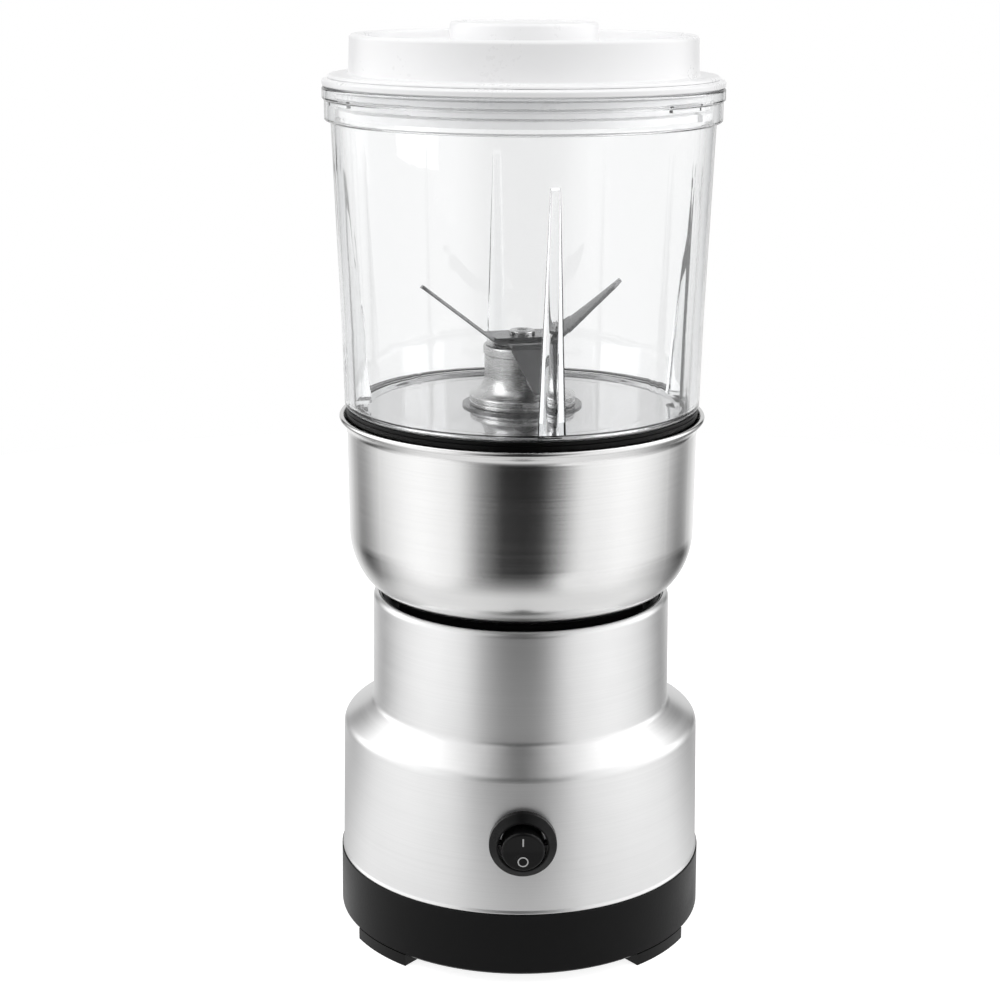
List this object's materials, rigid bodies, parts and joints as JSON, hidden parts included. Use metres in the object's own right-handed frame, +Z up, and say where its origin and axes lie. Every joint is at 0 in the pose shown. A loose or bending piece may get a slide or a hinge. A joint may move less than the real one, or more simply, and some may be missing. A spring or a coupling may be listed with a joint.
{
  "type": "spice grinder",
  "caption": "Electric spice grinder with a motor base and rocker switch, a lift-off steel bowl with winged blades, a clear cup and a twist-lock lid.",
  "frame": {"origin": "centre of the circle that the feet stand on, on the table", "axes": "+Z up the grinder's axis; the rocker switch faces -Y; +X is to its right seen from the front"},
  "size_m": [0.104, 0.1065, 0.2454],
  "materials": {
    "black_plastic": "moulded, satin",
    "black_rubber": "matt",
    "zinc_steel": "zinc-plated steel",
    "brushed_steel": "stainless steel, brushed round the axis",
    "switch_plastic": "moulded, semi-gloss",
    "brass": "pressed sheet",
    "wire_cover": "insulated wire",
    "die_cast": "as cast",
    "lamination": "stacked electrical steel",
    "copper_wire": "enamelled copper wire",
    "carbon": "pressed carbon",
    "spring_bronze": "bright strip",
    "sintered_bronze": "sintered, oiled",
    "white_paint": "filled marks",
    "ground_steel": "ground",
    "copper_bar": "turned copper",
    "pale_plastic": "moulded",
    "fibre": "pressed fibre",
    "polished_steel": "polished stainless steel",
    "dark_steel": "dark oxide",
    "turned_steel": "turned, bright",
    "blade_steel": "ground stainless steel",
    "spring_steel": "bright",
    "clear_plastic": "clear, smooth",
    "clear_rubber": "translucent, soft",
    "white_plastic": "moulded, satin gloss"
  },
  "bodies": {
    "base": {"base_cover": "black_plastic", "rubber_feet": "black_rubber", "base_screws": "zinc_steel", "body_shell": "brushed_steel", "inner_frame": "black_plastic", "switch_housing": "switch_plastic", "switch_terminals": "brass", "cord_inlet": "black_rubber", "lead_wires": "wire_cover", "motor_top_bracket": "die_cast", "motor_bottom_bracket": "black_plastic", "motor_bolts": "zinc_steel", "frame_screws": "zinc_steel", "field_core": "lamination", "field_coils": "copper_wire", "brush_holders": "brass", "carbon_brushes": "carbon", "brush_springs": "spring_bronze", "upper_motor_bush": "sintered_bronze", "lower_motor_bush": "sintered_bronze"},
    "rocker": {"rocker_button": "switch_plastic", "rocker_marks": "white_paint"},
    "rotor": {"motor_shaft": "ground_steel", "armature_core": "lamination", "armature_windings": "copper_wire", "commutator": "copper_bar", "cooling_fan": "pale_plastic", "thrust_washers": "fibre", "drive_coupling": "pale_plastic"},
    "bowl": {"steel_bowl": "brushed_steel", "bowl_liner": "black_plastic", "cup_seat": "black_plastic", "seat_screws": "zinc_steel", "floor_plate": "polished_steel", "stand_washer": "dark_steel", "blade_stand": "turned_steel", "stand_nut": "zinc_steel", "upper_blade_bush": "sintered_bronze", "lower_blade_bush": "sintered_bronze", "shaft_seal": "black_rubber"},
    "blades": {"blade_shaft": "ground_steel", "blade_spacer": "dark_steel", "lower_blade": "blade_steel", "upper_blade": "blade_steel", "blade_cap": "turned_steel", "shaft_clip": "spring_steel", "driven_coupling": "black_plastic"},
    "gasket": {"cup_gasket": "black_rubber"},
    "cup": {"clear_cup": "clear_plastic"},
    "seal": {"lid_seal": "clear_rubber"},
    "lid": {"lid": "white_plastic"}
  },
  "joints": [
    {"name": "rocker_tilt", "type": "hinge", "parent": "base", "child": "rocker", "pos_m": [0, -0.0485, 0.0403], "axis": [-1, 0, 0], "range_deg": [0, 17]},
    {"name": "rotor_spin", "type": "hinge", "parent": "base", "child": "rotor", "pos_m": [0, 0, 0.048], "axis": [0, 0, 1], "continuous": true},
    {"name": "bowl_lift", "type": "slide", "parent": "base", "child": "bowl", "axis": [0, 0, 1], "range_m": [0, 0.06]},
    {"name": "blade_spin", "type": "hinge", "parent": "bowl", "child": "blades", "pos_m": [0, 0, 0.13], "axis": [0, 0, 1], "continuous": true},
    {"name": "cup_lift", "type": "slide", "parent": "bowl", "child": "gasket", "axis": [0, 0, 1], "range_m": [0, 0.06]},
    {"name": "cup_turn", "type": "hinge", "parent": "gasket", "child": "cup", "pos_m": [0, 0, 0.1463], "axis": [0, 0, -1], "range_deg": [0, 25]},
    {"name": "lid_lift", "type": "slide", "parent": "cup", "child": "seal", "axis": [0, 0, 1], "range_m": [0, 0.04]},
    {"name": "lid_turn", "type": "hinge", "parent": "seal", "child": "lid", "pos_m": [0, 0, 0.2295], "axis": [0, 0, -1], "range_deg": [0, 25]}
  ],
  "couplings": [
    {"joint": "blade_spin", "follows": "rotor_spin", "ratio": 1}
  ]
}
